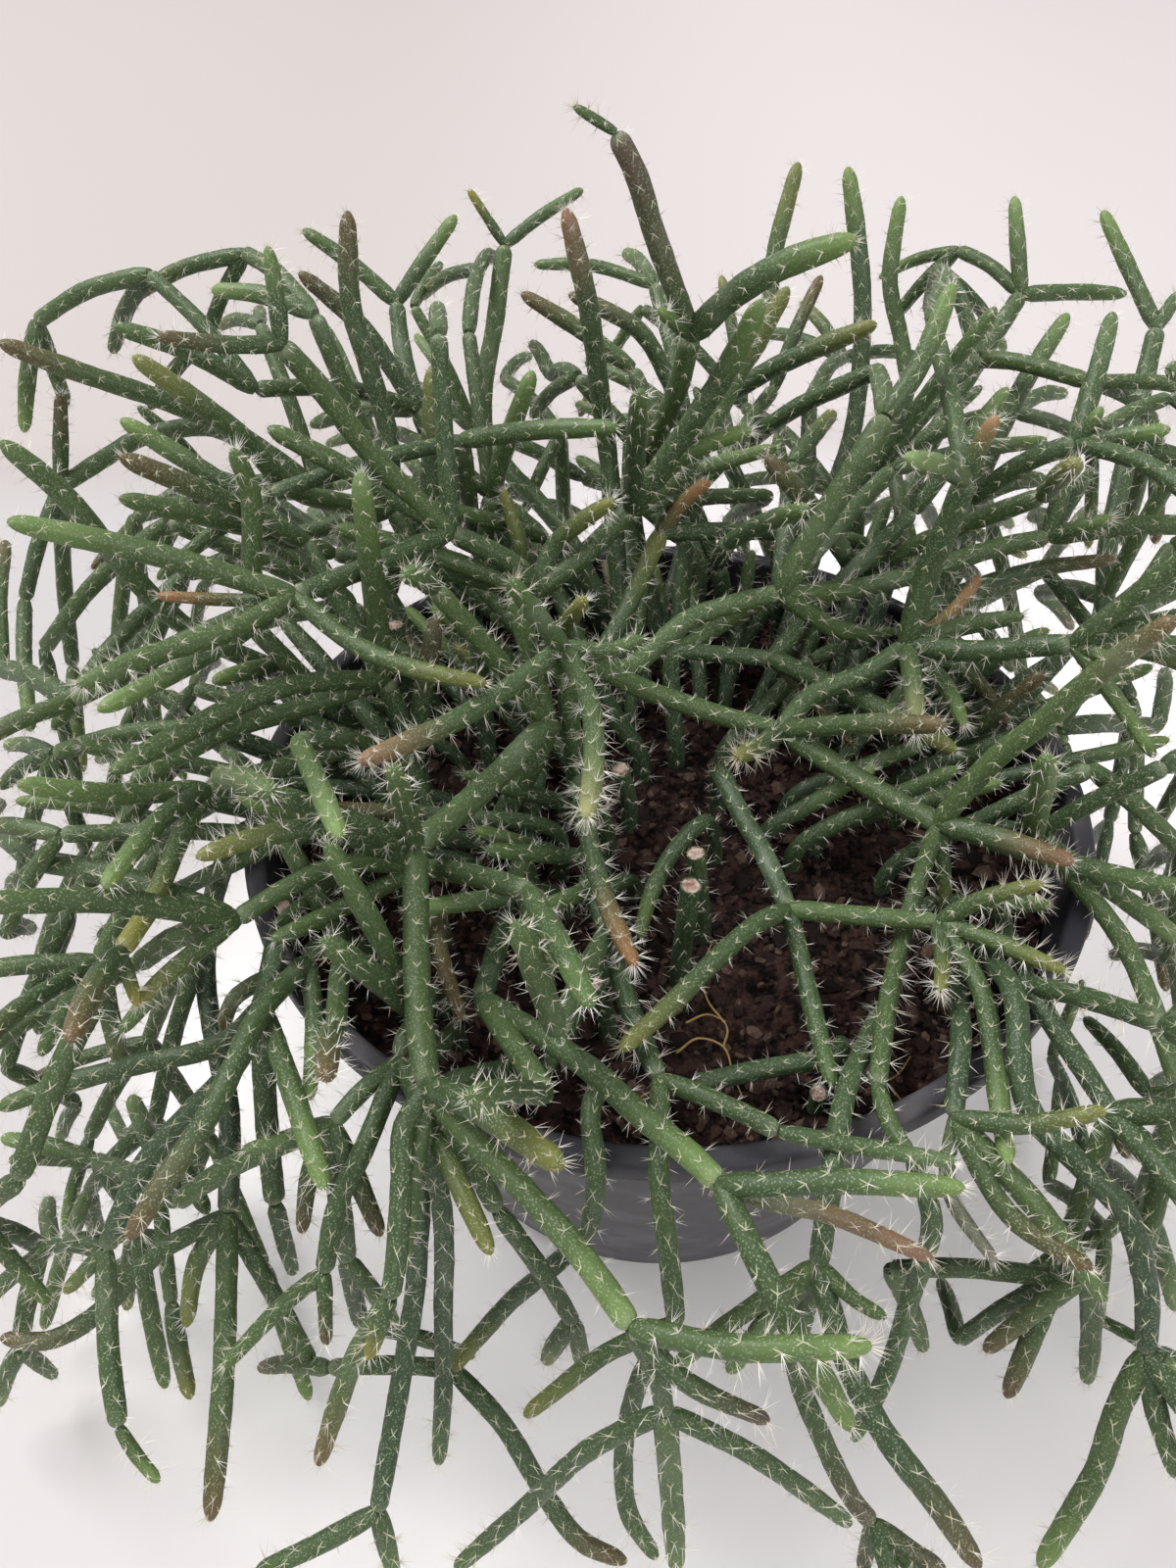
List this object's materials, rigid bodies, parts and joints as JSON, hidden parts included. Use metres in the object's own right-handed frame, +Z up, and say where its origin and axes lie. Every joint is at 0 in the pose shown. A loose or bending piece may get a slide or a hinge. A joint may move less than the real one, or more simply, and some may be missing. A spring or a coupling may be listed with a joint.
{
  "type": "potted mistletoe cactus",
  "caption": "Mistletoe cactus: thin branching stems that rise from soil in a round plastic nursery pot and hang over its rim.",
  "frame": {"origin": "centre of the pot's base, on the surface that the pot stands on", "axes": "+Z up; -Y towards the side with the gap through which the soil shows, +X to the right of that side"},
  "size_m": [0.2774, 0.3268, 0.2228],
  "materials": {
    "pot": "matte charcoal, moulded",
    "soil": "crumbled bark and peat, dull",
    "stem": "fleshy green skin, dull, faintly ribbed"
  },
  "bodies": {
    "root": {"cutting_back_hub": "stem", "cutting_brown_left": "stem", "cutting_dry_stem": "stem", "cutting_front_rise": "stem", "cutting_hang_left": "stem", "cutting_hang_mid": "stem", "cutting_hidden_0": "stem", "cutting_hidden_1": "stem", "cutting_hidden_2": "stem", "cutting_hidden_3": "stem", "cutting_hidden_4": "stem", "cutting_hidden_5": "stem", "cutting_hidden_6": "stem", "cutting_hidden_7": "stem", "cutting_hub": "stem", "cutting_left_a": "stem", "cutting_left_b": "stem", "cutting_left_c": "stem", "cutting_left_d": "stem", "cutting_left_e": "stem", "cutting_left_f": "stem", "cutting_left_g": "stem", "cutting_left_h": "stem", "cutting_left_parent": "stem", "cutting_left_upright": "stem", "cutting_near_base": "stem", "cutting_orange_stem": "stem", "cutting_right_a": "stem", "cutting_right_b": "stem", "cutting_right_c": "stem", "cutting_right_d": "stem", "cutting_right_front": "stem", "cutting_soil_arch": "stem", "cutting_soil_back": "stem", "cutting_top_a": "stem", "cutting_top_b": "stem", "cutting_top_c": "stem", "cutting_top_d": "stem", "cutting_top_e": "stem", "cutting_top_f": "stem", "cutting_top_g": "stem", "cutting_top_h": "stem", "cutting_top_i": "stem", "cutting_top_j": "stem", "cutting_top_k": "stem", "cutting_top_l": "stem", "cutting_under_front": "stem", "pot": "pot", "soil": "soil", "stub_back": "stem", "stub_behind": "stem", "stub_centre": "stem", "stub_far_left": "stem", "stub_front": "stem", "stub_left": "stem", "stub_low": "stem", "stub_lying": "stem", "stub_near": "stem", "stub_rim": "stem"}
  },
  "joints": []
}
